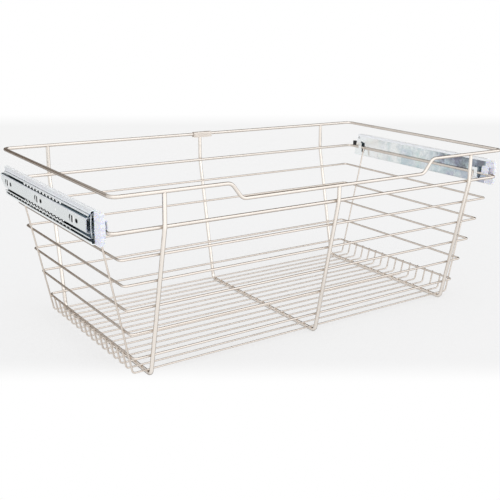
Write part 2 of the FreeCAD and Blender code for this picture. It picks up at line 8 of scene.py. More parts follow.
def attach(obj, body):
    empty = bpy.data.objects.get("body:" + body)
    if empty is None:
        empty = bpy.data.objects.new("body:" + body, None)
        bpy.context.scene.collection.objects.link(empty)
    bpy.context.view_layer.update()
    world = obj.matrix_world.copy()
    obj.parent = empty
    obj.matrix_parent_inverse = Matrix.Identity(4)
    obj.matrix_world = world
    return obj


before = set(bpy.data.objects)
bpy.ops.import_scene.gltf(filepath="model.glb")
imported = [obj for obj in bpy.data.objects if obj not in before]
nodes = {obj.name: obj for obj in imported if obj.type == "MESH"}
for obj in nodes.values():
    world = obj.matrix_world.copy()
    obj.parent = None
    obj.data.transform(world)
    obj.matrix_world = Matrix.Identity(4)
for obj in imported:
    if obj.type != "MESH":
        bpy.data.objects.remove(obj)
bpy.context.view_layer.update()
scene = bpy.context.scene
scene.view_settings.view_transform = "Standard"


# Viewpoint
# The basket is seen from its front left corner, a little above the rim, by a camera
# of about 56 mm that stands 1.35 m from the middle of the basket.
eye = bpy.data.cameras.new("front_left_view")
eye.sensor_width = 36
eye.lens = 56.07
eye.shift_x = -0.0378
eye.shift_y = -0.0097
eye.clip_start = 0.05
eye.clip_end = 60
viewpoint = bpy.data.objects.new("front_left_view", eye)
viewpoint.location = (-0.76622, -1.05769, 0.49545)
viewpoint.rotation_euler = (math.radians(73.502), math.radians(-1.477), math.radians(-36.081))
scene.collection.objects.link(viewpoint)
scene.camera = viewpoint


# Studio
# A white wall all around, plain white above a soft line and a shade greyer below it.
# Shiny metal mirrors it brighter towards the front right, and it lights all else with
# an even fill.
PLAIN_WHITE = (1, 1, 1, 1)
WALL_GREY = (0.905, 0.905, 0.905, 1)
WALL_UP = (0.0475, 0.1087, 0.9929)
WALL_TURN = (-0.0195, -0.0055)
MIRRORED_WALL = (0.93, 0.93, 0.93, 1)
MIRRORED_KEY = (1.50, 1.515, 1.53, 1)
KEY_DIRECTION = (0.05, -0.95, 0.30)
KEY_TURN = (-0.1, 0.6)
FILL_LIGHT = (0.74, 0.74, 0.745, 1)


def feed(socket, source):
    """Link a node's output to a socket, or set the socket to a fixed number or colour."""
    if isinstance(source, bpy.types.NodeSocket):
        socket.id_data.links.new(source, socket)
    else:
        socket.default_value = source


def add(tree, kind, sources=None, **settings):
    """Add a shader node, set it up, and feed its sockets, which are named or numbered."""
    node = tree.nodes.new("ShaderNode" + kind)
    for setting, value in settings.items():
        setattr(node, setting, value)
    for socket, source in (sources or {}).items():
        feed(node.inputs[socket], source)
    return node


def maths(operation, *sources, clamp=False):
    """Work on one value or more. The first is a node's output, the others may be numbers."""
    tree = sources[0].id_data
    node = add(tree, "Math", dict(enumerate(sources)), operation=operation, use_clamp=clamp)
    return node.outputs[0]


def reach_along(place, direction):
    """How far a place or a heading lies in a direction."""
    node = add(place.id_data, "VectorMath", {0: place, 1: direction}, operation="DOT_PRODUCT")
    return node.outputs["Value"]


def climb(value, low, high, start=0, end=1, soft=False):
    """A value that goes from start to end while another goes from low to high."""
    limits = {"Value": value, "From Min": low, "From Max": high, "To Min": start, "To Max": end}
    kind = "SMOOTHSTEP" if soft else "LINEAR"
    return add(value.id_data, "MapRange", limits, interpolation_type=kind).outputs["Result"]


def blend(share, first, second):
    """A colour between two others."""
    colours = {"Factor": share, 6: first, 7: second}
    return add(share.id_data, "Mix", colours, data_type="RGBA").outputs[2]


studio = bpy.data.worlds.new("studio")
studio.use_nodes = True
scene.world = studio
air = studio.node_tree
heading = add(air, "TexCoord").outputs["Generated"]
upper_wall = climb(reach_along(heading, WALL_UP), *WALL_TURN)
seen_wall = air.nodes["Background"]
feed(seen_wall.inputs["Color"], blend(upper_wall, WALL_GREY, PLAIN_WHITE))
key_share = climb(reach_along(heading, KEY_DIRECTION), *KEY_TURN, soft=True)
mirrored = add(air, "Background", {"Color": blend(key_share, MIRRORED_WALL, MIRRORED_KEY)})
fill = add(air, "Background", {"Color": FILL_LIGHT})
path = add(air, "LightPath").outputs
seen_rays = maths("MAXIMUM", path["Is Camera Ray"], path["Is Transmission Ray"])
light = add(air, "MixShader", {0: path["Is Glossy Ray"], 1: fill.outputs[0], 2: mirrored.outputs[0]})
wall = add(air, "MixShader", {0: seen_rays, 1: light.outputs[0], 2: seen_wall.outputs[0]})
feed(air.nodes["World Output"].inputs["Surface"], wall.outputs[0])


# Table top
# A round white table, painted matt, that fades into the wall behind the basket and turns
# to plain white in front of it. The basket's shadow and a soft shade lie on it.
TABLE_RADIUS = 6
TABLE_PAINT = (0.90, 0.90, 0.905, 1)
TABLE_SHADE = (0.885, 0.885, 0.885, 1)
TABLE_FADE = (0.7, 2.2)
TABLE_FRONT = (-0.5449, -0.8385, 0)
TABLE_TURN = (0.228, 0.318)
TABLE_GLOW = 0.68
MIRRORED_TURN = (-0.25, -0.7)
MIRRORED_GAIN = 0.26


def new_material(name):
    """A material and its Principled shader."""
    material = bpy.data.materials.new(name)
    material.use_nodes = True
    return material, material.node_tree.nodes["Principled BSDF"]


def new_piece(name, shape, material, rounded=False):
    """Put a finished shape into the scene as a piece of its own."""
    for face in shape.faces:
        face.smooth = rounded
    mesh = bpy.data.meshes.new(name)
    shape.to_mesh(mesh)
    shape.free()
    mesh.materials.append(material)
    piece = bpy.data.objects.new(name, mesh)
    scene.collection.objects.link(piece)
    return piece


white_table, paint = new_material("white_table")
paint.inputs["Base Color"].default_value = TABLE_PAINT
paint.inputs["Roughness"].default_value = 0.75
paint.inputs["Specular IOR Level"].default_value = 0.1
tree = white_table.node_tree
spot = add(tree, "TexCoord").outputs["Object"]
distance = add(tree, "VectorMath", {0: spot}, operation="LENGTH").outputs["Value"]
fade = climb(distance, *TABLE_FADE, soft=True)
front = climb(reach_along(spot, TABLE_FRONT), *TABLE_TURN, soft=True)
path = add(tree, "LightPath").outputs
seen_rays = maths("MAXIMUM", path["Is Camera Ray"], path["Is Glossy Ray"])
seen_share = maths("MULTIPLY", seen_rays, climb(front, 0, 1, TABLE_GLOW, 1))
depth = add(tree, "SeparateXYZ", {"Vector": spot}).outputs["Y"]
front_gain = climb(depth, *MIRRORED_TURN, 0, MIRRORED_GAIN, soft=True)
strength = maths("MULTIPLY_ADD", front_gain, path["Is Glossy Ray"], 1)
glow_colour = blend(front, TABLE_SHADE, PLAIN_WHITE)
even_white = add(tree, "Emission", {"Color": glow_colour, "Strength": strength})
lit_table = add(tree, "MixShader", {0: seen_share, 1: paint.outputs["BSDF"], 2: even_white.outputs[0]})
behind = maths("SUBTRACT", fade, front, clamp=True)
beyond = add(tree, "BsdfTransparent")
table = add(tree, "MixShader", {0: behind, 1: lit_table.outputs[0], 2: beyond.outputs[0]})
feed(tree.nodes["Material Output"].inputs["Surface"], table.outputs[0])

disc = bmesh.new()
bmesh.ops.create_circle(disc, cap_ends=True, segments=96, radius=TABLE_RADIUS)
table_top = new_piece("table_top", disc, white_table)


# Lamps and boards
# Three wide white lamps light the table and the plastic, and no metal mirrors them. Two
# dark boards behind the basket are there only for shiny metal to mirror.
BOARD_TARGET = (0, 0, 0.15)


def soft_lamp(name, direction, strength, spread):
    """A wide white lamp that shines from a direction."""
    lamp = bpy.data.lights.new(name, "SUN")
    lamp.energy = strength
    lamp.angle = math.radians(spread)
    holder = bpy.data.objects.new(name, lamp)
    holder.location = direction
    holder.rotation_euler = Vector(direction).to_track_quat("Z", "Y").to_euler()
    holder.visible_glossy = False
    scene.collection.objects.link(holder)


def dark_board(name, place, width, height, colour):
    """A board that faces the basket, and that only shiny metal sees."""
    material, shader = new_material(name)
    glow = add(shader.id_data, "Emission", {"Color": colour}).outputs[0]
    feed(shader.id_data.nodes["Material Output"].inputs["Surface"], glow)
    board = bmesh.new()
    bmesh.ops.create_grid(board, x_segments=1, y_segments=1, size=0.5)
    bmesh.ops.scale(board, vec=(width, height, 1), verts=board.verts)
    turn = (Vector(BOARD_TARGET) - Vector(place)).to_track_quat("Z", "Y").to_matrix()
    bmesh.ops.rotate(board, cent=(0, 0, 0), matrix=turn, verts=board.verts)
    bmesh.ops.translate(board, vec=place, verts=board.verts)
    card = new_piece(name, board, material)
    card.visible_camera = False
    card.visible_diffuse = False
    card.visible_transmission = False
    card.visible_shadow = False


soft_lamp("overhead_softbox", (0.3, -0.5, 2.4), strength=0.55, spread=80)
soft_lamp("front_softbox", (1.4, -2.2, 1.5), strength=0.5, spread=60)
soft_lamp("left_softbox", (-2.4, -1.0, 1.0), strength=0.45, spread=70)
dark_board("rear_board", (2.3, 1.8, 2.5), width=3.6, height=3.6, colour=(0.17, 0.138, 0.115, 1))
dark_board("left_board", (-0.8, 3.0, 0.85), width=2.3, height=1.7, colour=(0.225, 0.178, 0.145, 1))


# Wire of the basket
# The rim, hoops, ribs and base wires are drawn steel rod, bent, resistance welded at
# every crossing and then plated in satin nickel, a warm grey with a soft shine.
NICKEL = {
    "Colour": (0.735, 0.68, 0.625, 1),
    "Cloud Colour": (0.65, 0.592, 0.535, 1),
    "Cloud Size": 26,
    "Gloss": 0.2,
    "Gloss Change": 0.1,
    "Grain Size": 1400,
    "Grain Depth": 0.12,
}
GRAIN_HEIGHT = 0.0002


def new_group(name, inputs, outputs):
    """A shader node group, with the sockets that feed it and give out from it inside."""
    group = bpy.data.node_groups.new(name, "ShaderNodeTree")
    for label, kind, default in inputs:
        socket = group.interface.new_socket(label, in_out="INPUT", socket_type="NodeSocket" + kind)
        socket.default_value = default
    for label, kind in outputs:
        group.interface.new_socket(label, in_out="OUTPUT", socket_type="NodeSocket" + kind)
    given = group.nodes.new("NodeGroupInput")
    result = group.nodes.new("NodeGroupOutput")
    return group, given.outputs, result.inputs


def plated_surface():
    """Shader group: cloudy colour, uneven gloss and fine grain of a plated surface."""
    inputs = (
        ("Colour", "Color", (0.7, 0.7, 0.7, 1)),
        ("Cloud Colour", "Color", (0.6, 0.6, 0.6, 1)),
        ("Cloud Size", "Float", 30.0),
        ("Gloss", "Float", 0.3),
        ("Gloss Change", "Float", 0.1),
        ("Grain Size", "Float", 900.0),
        ("Grain Depth", "Float", 0.1),
        ("Grain Stretch", "Vector", (1, 1, 1)),
    )
    outputs = (("Colour", "Color"), ("Roughness", "Float"), ("Normal", "Vector"))
    group, given, result = new_group("plated_surface", inputs, outputs)
    spot = add(group, "TexCoord").outputs["Object"]
    clouds = add(group, "TexNoise", {"Vector": spot, "Scale": given["Cloud Size"], "Detail": 4})
    cloud = clouds.outputs["Fac"]
    feed(result["Colour"], blend(cloud, given["Colour"], given["Cloud Colour"]))
    feed(result["Roughness"], maths("MULTIPLY_ADD", cloud, given["Gloss Change"], given["Gloss"]))
    drawn = add(group, "VectorMath", {0: spot, 1: given["Grain Stretch"]}, operation="MULTIPLY")
    fine = {"Vector": drawn.outputs["Vector"], "Scale": given["Grain Size"], "Detail": 3}
    grain = add(group, "TexNoise", fine).outputs["Fac"]
    relief = {"Height": grain, "Strength": given["Grain Depth"], "Distance": GRAIN_HEIGHT}
    feed(result["Normal"], add(group, "Bump", relief).outputs["Normal"])
    return group


PLATED_SURFACE = plated_surface()


def plated_metal(name, finish):
    """A metal whose colour, gloss and grain come from the plated surface group."""
    material, shader = new_material(name)
    shader.inputs["Metallic"].default_value = 1
    surface = add(shader.id_data, "Group", finish, node_tree=PLATED_SURFACE).outputs
    feed(shader.inputs["Base Color"], surface["Colour"])
    feed(shader.inputs["Roughness"], surface["Roughness"])
    feed(shader.inputs["Normal"], surface["Normal"])
    return material, shader


def finish_nodes(material, names):
    """Give CAD nodes a finish."""
    for name in names:
        mesh = nodes[name].data
        mesh.materials.clear()
        mesh.materials.append(material)


def wire_metal(name, colour, clouds, gloss, edge):
    """Nickel plated wire, which reflects less at a slant, down to a tint at its very edge."""
    finish = {**NICKEL, "Colour": colour, "Cloud Colour": clouds, "Gloss": gloss}
    material, shader = plated_metal(name, finish)
    shader.inputs["Specular Tint"].default_value = edge
    return material


satin_nickel = wire_metal(
    "satin_nickel",
    colour=(0.80, 0.745, 0.69, 1),
    clouds=NICKEL["Cloud Colour"],
    gloss=0.2,
    edge=(0.25, 0.22, 0.2, 1),
)
# Painted light: the ribs get a paler copy of the same nickel, for the brighter light they catch.
rib_nickel_painted_pale = wire_metal(
    "rib_nickel_painted_pale",
    colour=(0.87, 0.812, 0.75, 1),
    clouds=(0.80, 0.742, 0.685, 1),
    gloss=0.11,
    edge=(0.02, 0.02, 0.02, 1),
)
# Painted shade: the thinner hoops, the base wires and the upright seams get a darker copy of the same
# nickel.
thin_nickel_painted_dark = wire_metal(
    "thin_nickel_painted_dark",
    colour=(0.76, 0.69, 0.625, 1),
    clouds=(0.66, 0.595, 0.535, 1),
    gloss=0.2,
    edge=(0.1, 0.09, 0.08, 1),
)
finish_nodes(satin_nickel, ["rim_wire", "hoop_2"])
finish_nodes(rib_nickel_painted_pale, ["rib_left", "rib_centre", "rib_right"])
finish_nodes(thin_nickel_painted_dark, ["hoop_%d" % i for i in range(3, 8)])
finish_nodes(thin_nickel_painted_dark, ["base_wire_%02d" % i for i in range(1, 17)])


# Welds
# Each crossing of two wires is resistance welded, and the plating leaves a small soft
# bead there. The tops of the ribs are welded to the rim with a rounder bead.
HOOP_LEVELS = (0.2287, 0.1900, 0.1513, 0.1126, 0.0739, 0.0329)
RIB_LINES = ((-0.299, 0.0), (0.0, -0.7), (0.299, -1.5))
RIB_TOP = 0.2006
RIB_FOOT = 0.155
RIB_FOOT_LEVEL = 0.003
RIB_TOUCH = 0.0029
RIB_BEAD = (0.0022, 0.0009, 0.0016)
RIM_SEAM = 0.2743
DIP_SEAM = 0.2508
RIM_BEAD = (0.0030, 0.0029, 0.0024)
BASE_PITCH = 0.0195
BASE_COUNT = 16
BASE_ROWS = [(i - (BASE_COUNT - 1) / 2) * BASE_PITCH for i in range(BASE_COUNT)]
BASE_TOUCH_LEVEL = 0.0060
BASE_BEAD = (0.0018, 0.0014, 0.0006)
UPRIGHT_TOP = 0.3687
UPRIGHT_FOOT = 0.323
UPRIGHT_FOOT_LEVEL = 0.00735
UPRIGHT_TOUCH = 0.0013
UPRIGHT_BEAD = (0.0007, 0.0016, 0.0015)


def wire_reach(level, top, foot, foot_level):
    """How far out a wire stands at a level, on its slope from its foot up to hoop 2."""
    share = (HOOP_LEVELS[0] - level) / (HOOP_LEVELS[0] - foot_level)
    return top + (foot - top) * share


def rib_across(place, tilt, level):
    """Where a leaning rib stands across the basket at a level."""
    return place + level * math.tan(math.radians(tilt))


def add_beads(beads, spots, half_sizes, segments):
    """Add a round lump at each spot."""
    rows = segments // 2 + 1
    for spot in spots:
        stretch = Matrix.Translation(spot) @ Matrix.Diagonal((*half_sizes, 1))
        bmesh.ops.create_uvsphere(beads, u_segments=segments, v_segments=rows, radius=1, matrix=stretch)


def welded_piece(name, beads, material):
    """Put a set of beads on the basket, to move with it."""
    piece = new_piece(name, beads, material, rounded=True)
    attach(piece, "basket")


hoop_crossings = []
for level in HOOP_LEVELS:
    reach = wire_reach(level, RIB_TOP, RIB_FOOT, RIB_FOOT_LEVEL) - RIB_TOUCH
    for place, tilt in RIB_LINES:
        for turn in (-1, 1):
            hoop_crossings.append((rib_across(place, tilt, level), turn * reach, level))
base_crossings = [(place, row, BASE_TOUCH_LEVEL) for place, tilt in RIB_LINES for row in BASE_ROWS]
crossings = bmesh.new()
add_beads(crossings, hoop_crossings, RIB_BEAD, segments=8)
add_beads(crossings, base_crossings, BASE_BEAD, segments=8)
weld_finish = {
    **NICKEL,
    "Colour": (0.58, 0.515, 0.455, 1),
    "Cloud Colour": (0.44, 0.385, 0.335, 1),
    "Cloud Size": 300,
    "Gloss": 0.3,
    "Grain Depth": 0.2,
}
weld_nickel, _ = plated_metal("weld_nickel", weld_finish)
welded_piece("weld_beads", crossings, weld_nickel)

upright_touches = []
for level in HOOP_LEVELS:
    side = 1 if level == HOOP_LEVELS[0] else -1
    reach = wire_reach(level, UPRIGHT_TOP, UPRIGHT_FOOT, UPRIGHT_FOOT_LEVEL) + side * UPRIGHT_TOUCH
    for row in BASE_ROWS if level == HOOP_LEVELS[-1] else (BASE_ROWS[0], BASE_ROWS[-1]):
        for turn in (-1, 1):
            upright_touches.append((turn * reach, row, level))
uprights = bmesh.new()
add_beads(uprights, upright_touches, UPRIGHT_BEAD, segments=8)
welded_piece("upright_seams", uprights, thin_nickel_painted_dark)

rib_tops = []
for place, tilt in RIB_LINES:
    for turn in (-1, 1):
        level = DIP_SEAM if place == 0 and turn < 0 else RIM_SEAM
        rib_tops.append((rib_across(place, tilt, level), turn * RIB_TOP, level))
seams = bmesh.new()
add_beads(seams, rib_tops, RIM_BEAD, segments=12)
welded_piece("rim_seams", seams, satin_nickel)


# Rim splice
# A strip of nickel plated sheet, folded over the rim at the back where its two ends
# meet, and pinched on below the wire.
splice_finish = {
    **NICKEL,
    "Cloud Size": 60,
    "Gloss": 0.28,
    "Gloss Change": 0.12,
    "Grain Size": 1100,
    "Grain Depth": 0.15,
}
pressed_nickel, _ = plated_metal("pressed_nickel", splice_finish)
finish_nodes(pressed_nickel, ["rim_splice"])


# Basket channels
# The widest of the three nested channels on each side, roll formed from bright zinc
# plated steel strip and hooked over hoop 2. The plating is clouded, with blue grey
# stains near the front that are partly a painted reflection of darker surroundings,
# and painted dark shade lies in the ball tracks.
SLIDE_FACE = 0.3749
SLIDE_LEVEL = 0.2327
SLIDE_NOSE = -0.1545
SLIDE_TAIL = (0.1465, 0.2)
TOP_EDGE = 0.03
FAR_OUT = 0.02
ZINC = {
    "Colour": (0.83, 0.85, 0.845, 1),
    "Cloud Colour": (0.70, 0.745, 0.755, 1),
    "Cloud Size": 11,
    "Gloss": 0.17,
    "Gloss Change": 0.14,
    "Grain Size": 900,
    "Grain Depth": 0.1,
    "Grain Stretch": (1, 0.03, 1),
}
CLEAN_ZINC = {**ZINC, "Colour": (0.93, 0.95, 0.955, 1), "Cloud Colour": (0.84, 0.88, 0.89, 1)}
BEND_HIGHLIGHT = (0.85, 0.875, 0.91, 1)
# Painted shade, dark teal, for the inside of the channels.
TRACK_SHADE = (0.045, 0.075, 0.088, 1)
FRONT_SMEAR = (-0.143, -0.149)
SMEAR_SIZE = 70
SMEAR_HALF = 0.003
WEB = (-0.0004, 0.0004)
UPPER_WEB = (-0.006, TOP_EDGE)
WORN_ALONG = (-0.1495, -0.1385)
WORN_RISE = (-0.019, 0.0045)
BARE_TAIL = (0.138, 0.2)
BEND_START = 0.0186
BEND_DEPTH = 0.006
# Stain colours, partly real plating stains and partly a painted reflection.
PALE_TEAL = (0.50, 0.61, 0.65, 1)
VIOLET_GREY = (0.40, 0.42, 0.54, 1)
SLATE = (0.20, 0.235, 0.28, 1)
BLOTCH_EDGES = (0.36, 0.64)
STAIN_EDGES = (0.4, 1.1)
HUE_STRENGTH = 0.45
HOLE_SHADE = (0.05, 0.07, 0.08, 1)
BEND_EDGE_HIGHLIGHT = (0.92, 0.94, 0.965, 1)


def slide_place():
    """Shader group: how far a point is from the basket, along the slide and off its middle."""
    outputs = (("Out", "Float"), ("Along", "Float"), ("Rise", "Float"))
    group, _, result = new_group("slide_place", (), outputs)
    spot = add(group, "TexCoord").outputs["Object"]
    parts = add(group, "SeparateXYZ", {"Vector": spot}).outputs
    feed(result["Out"], maths("SUBTRACT", maths("ABSOLUTE", parts["X"]), SLIDE_FACE))
    feed(result["Along"], parts["Y"])
    feed(result["Rise"], maths("SUBTRACT", parts["Z"], SLIDE_LEVEL))
    return group


def smeared_edge():
    """Shader group: a share from 0 to 1 between a clear and a full value, with a ragged edge."""
    inputs = (("Value", "Float", 0), ("Clear", "Float", 0), ("Full", "Float", 1))
    group, given, result = new_group("smeared_edge", inputs, (("Share", "Float"),))
    limits = {"From Min": given["Clear"], "From Max": given["Full"], "To Min": -0.5, "To Max": 0.5}
    even = add(group, "MapRange", {"Value": given["Value"], **limits}, clamp=False).outputs["Result"]
    spot = add(group, "TexCoord").outputs["Object"]
    ragged = add(group, "TexNoise", {"Vector": spot, "Scale": SMEAR_SIZE, "Detail": 6}).outputs["Fac"]
    feed(result["Share"], maths("ADD", even, ragged, clamp=True))
    return group


SLIDE_PLACE = slide_place()
SMEARED_EDGE = smeared_edge()


def place_on_slide(shader):
    """The distances out, along and up on a slide, for one material."""
    return add(shader.id_data, "Group", node_tree=SLIDE_PLACE).outputs


def smeared(value, clear, full):
    """A mask that fills up between two values, with a ragged edge."""
    limits = {"Value": value, "Clear": clear, "Full": full}
    return add(value.id_data, "Group", limits, node_tree=SMEARED_EDGE).outputs["Share"]


def between(value, low, high):
    """A mask where a value lies between two limits."""
    return maths("COMPARE", value, (low + high) / 2, (high - low) / 2)


def both(first, second):
    """A mask where two others meet."""
    return maths("MULTIPLY", first, second)


def either(first, second):
    """A mask that takes in two others."""
    return maths("MAXIMUM", first, second)


def lay_over(shader, mask, colour, roughness=None, matt=None):
    """Lay a colour, and a roughness, over what the shader has, where the mask is 1.

    A share of matt surface takes the place of that much bare metal.
    """
    base = shader.inputs["Base Color"]
    feed(base, blend(mask, base.links[0].from_socket, colour))
    if roughness is not None:
        rough = shader.inputs["Roughness"]
        changed = {"Factor": mask, 2: rough.links[0].from_socket, 3: roughness}
        feed(rough, add(shader.id_data, "Mix", changed).outputs[0])
    if matt is not None:
        feed(shader.inputs["Metallic"], maths("MULTIPLY_ADD", mask, -matt, 1))


def round_mark(place, along, rise, radius, squash=1):
    """A mask for a round mark on the web of a channel, flatter than round by a squash."""
    height = maths("MULTIPLY", place["Rise"], squash)
    flat = add(height.id_data, "CombineXYZ", {"X": place["Along"], "Y": height}).outputs["Vector"]
    ends = {0: flat, 1: (along, rise, 0)}
    distance = add(height.id_data, "VectorMath", ends, operation="DISTANCE").outputs["Value"]
    return maths("LESS_THAN", distance, radius)


def rolled_zinc(part, finish, bend):
    """Zinc for both channels of a kind, duller on the bend at the top and painted paler there as a
    highlight.
    """
    material, shader = plated_metal("rolled_zinc_" + part, finish)
    finish_nodes(material, [part + "_channel_left", part + "_channel_right"])
    place = place_on_slide(shader)
    lowest, nearest = bend
    at_bend = both(between(place["Rise"], lowest, TOP_EDGE), between(place["Out"], nearest, FAR_OUT))
    lay_over(shader, at_bend, BEND_HIGHLIGHT, roughness=0.6)
    return shader, place


def ball_track(place, depth, half, shade_edge):
    """A mask for painted dark shade inside a channel, along its ball tracks and at its front end."""
    inside = both(between(place["Out"], *depth), between(place["Rise"], -half, half))
    inside = both(inside, between(place["Along"], SLIDE_NOSE, 1))
    by_balls = smeared(maths("ABSOLUTE", place["Rise"]), *shade_edge)
    by_front = smeared(place["Along"], *FRONT_SMEAR)
    return both(inside, either(by_balls, by_front))


def shade_tracks(shader, place, track, front_end, front_shade_tone):
    """Painted dark shade in the tracks, paler and matt in front of a place near the front end."""
    lay_over(shader, track, TRACK_SHADE)
    in_front = smeared(place["Along"], front_end + SMEAR_HALF, front_end - SMEAR_HALF)
    paler_shade = both(track, in_front)
    lay_over(shader, paler_shade, front_shade_tone, roughness=0.45, matt=0.9)
    return paler_shade


def stain_and_painted_reflection(shader, place, area, colour, size, near, run, low, high, most):
    """A blotchy stain, thicker towards the front, and the hues of its blotches. It is partly a real
    plating stain and partly a painted reflection that grows towards the front.
    """
    tree = shader.id_data
    spot = add(tree, "TexCoord").outputs["Object"]
    blotch = add(tree, "TexNoise", {"Vector": spot, "Scale": size, "Detail": 8, "Roughness": 0.74}).outputs
    nearness = climb(place["Along"], near, near - run, low, high, soft=True)
    amount = maths("ADD", nearness, climb(blotch["Fac"], *BLOTCH_EDGES))
    share = climb(amount, *STAIN_EDGES, 0, most)
    lay_over(shader, both(share, area), colour)
    return blotch["Color"]


shader, place = rolled_zinc("basket", CLEAN_ZINC, bend=(BEND_START, 0.0085))
web = between(place["Out"], *WEB)
worn = both(between(place["Along"], *WORN_ALONG), between(place["Rise"], *WORN_RISE))
bare = either(worn, between(place["Along"], *BARE_TAIL))
kept = maths("SUBTRACT", web, both(web, bare))
stain_and_painted_reflection(shader, place, kept, PALE_TEAL, size=18, near=0.13, run=0.16, low=-0.15, high=0.4, most=0.9)
stain_and_painted_reflection(shader, place, kept, VIOLET_GREY, size=34, near=0, run=0.10, low=-0.5, high=0.3, most=0.9)
upper = both(kept, between(place["Rise"], *UPPER_WEB))
hues = stain_and_painted_reflection(shader, place, upper, SLATE, size=42, near=0, run=0.09, low=-0.6, high=0.24, most=1)
base = shader.inputs["Base Color"]
sheen = {"Factor": HUE_STRENGTH, 6: base.links[0].from_socket, 7: hues}
feed(base, add(shader.id_data, "Mix", sheen, data_type="RGBA", blend_type="SOFT_LIGHT").outputs[2])
# Painted shade: a dark disc near the tail, as in a hole.
tail_hole_shade = round_mark(place, along=0.1685, rise=0.0155, radius=0.0021)
lay_over(shader, tail_hole_shade, HOLE_SHADE)
# Painted highlight: a pale rough band along the top of the web, just below the bend.
near_bend = both(between(place["Rise"], BEND_START, TOP_EDGE), between(place["Out"], WEB[0], BEND_DEPTH))
lay_over(shader, near_bend, BEND_EDGE_HIGHLIGHT, roughness=0.75)
track = ball_track(place, depth=(0.0011, 0.0107), half=0.0214, shade_edge=(0.0105, 0.0145))
shade_tracks(shader, place, track, front_end=-0.06, front_shade_tone=(0.16, 0.21, 0.25, 1))


# Middle channels
# The same zinc plated strip, rolled narrower with its lips folded in. It runs on balls
# inside the basket channel, and painted dark shade also lies on its back face at both ends.
MIDDLE_NOSE = (-0.2, -0.1435)
MIDDLE_BACK = (0.002, 0.0024)

shader, place = rolled_zinc("middle", ZINC, bend=(0.0146, 0.0095))
track = ball_track(place, depth=(0.0033, 0.0109), half=0.0155, shade_edge=(0.0072, 0.0098))
ends = either(between(place["Along"], *SLIDE_TAIL), between(place["Along"], *MIDDLE_NOSE))
track = either(track, both(ends, between(place["Out"], *MIDDLE_BACK)))
shade_tracks(shader, place, track, front_end=-0.118, front_shade_tone=(0.36, 0.45, 0.52, 1))


# Closet channels
# The narrowest channel of the same strip, screwed to the closet's side through three
# holes. A slit and a lanced lug stand behind each hole. The holes, slits and lugs are
# painted dark as shade, and a painted highlight stands beside each slit.
SCREW_HOLES = (-0.126, 0.002, 0.130)
SCREW_HOLE_RADIUS = 0.0044
SCREW_HOLE_SQUASH = 1.35
SLIT_GLINT = (0.0085, 0.0122)
SLIT = (0.0122, 0.0172)
SLIT_HEIGHT = (-0.0049, 0.0043)
LANCE = (0.0214, 0.0252)
LANCE_HEIGHT = (-0.0015, 0.0047)
LANCE_BOW = 125
PUNCHED_SHADE = (0.02, 0.024, 0.026, 1)
LIT_WEB = (0.78, 0.84, 0.88, 1)
LIT_HALF = 0.0094

shader, place = rolled_zinc("closet", ZINC, bend=(0.0078, 0.0098))
tall = between(place["Rise"], *SLIT_HEIGHT)
short = between(place["Rise"], *LANCE_HEIGHT)
bow = maths("MULTIPLY", place["Rise"], place["Rise"])
bowed = maths("MULTIPLY_ADD", bow, LANCE_BOW, place["Along"])
marks = None
glints = None
for hole in SCREW_HOLES:
    mark = round_mark(place, hole, 0, SCREW_HOLE_RADIUS, SCREW_HOLE_SQUASH)
    mark = either(mark, both(between(place["Along"], hole + SLIT[0], hole + SLIT[1]), tall))
    mark = either(mark, both(between(bowed, hole + LANCE[0], hole + LANCE[1]), short))
    glint = both(between(place["Along"], hole + SLIT_GLINT[0], hole + SLIT_GLINT[1]), tall)
    marks = either(marks, mark) if marks else mark
    glints = either(glints, glint) if glints else glint
# Painted highlight beside each slit, and painted shade over the holes, slits and lugs.
lay_over(shader, glints, PLAIN_WHITE)
lay_over(shader, marks, PUNCHED_SHADE)
track = ball_track(place, depth=(0, 0.0117), half=0.02, shade_edge=(0.0060, 0.0088))
paler_shade = shade_tracks(shader, place, track, front_end=-0.06, front_shade_tone=(0.15, 0.21, 0.25, 1))
# Painted light: the middle of the web in the paler front shade is painted pale, as if lit.
lay_over(shader, both(paler_shade, between(place["Rise"], -LIT_HALF, LIT_HALF)), LIT_WEB)


# Pilot plugs
# A bright zinc rivet sits flush in the small hole in the web of each closet channel. Its
# face is pressed a little round, and its near white zinc is painted bright for a bright dot.
PILOT_ALONG = -0.054
PILOT_FACE = 0.0127
PILOT_RADIUS = 0.0023
PILOT_EDGE = 0.00069
PILOT_SUNK = 0.0003
PILOT_PROUD = 0.00003
PILOT_DOME = 0.00006
# Painted light: a near white copy of the zinc, brighter than the channels' zinc.
bright_painted_finish = {
    **ZINC,
    "Colour": (0.98, 0.985, 0.985, 1),
    "Cloud Colour": (0.95, 0.96, 0.965, 1),
    "Cloud Size": 90,
}
zinc_painted_bright, _ = plated_metal("zinc_painted_bright", bright_painted_finish)


def thicken(shape, step):
    """Extrude the faces of a sheet by a step."""
    grown = bmesh.ops.extrude_face_region(shape, geom=shape.faces[:])
    corners = [part for part in grown["geom"] if isinstance(part, bmesh.types.BMVert)]
    bmesh.ops.translate(shape, vec=step, verts=corners)
    bmesh.ops.recalc_face_normals(shape, faces=shape.faces)


def slide_piece(name, shape, body):
    """Put a small zinc piece on a member of a slide, to move with it."""
    piece = new_piece(name, shape, zinc_painted_bright, rounded=True)
    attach(piece, body)


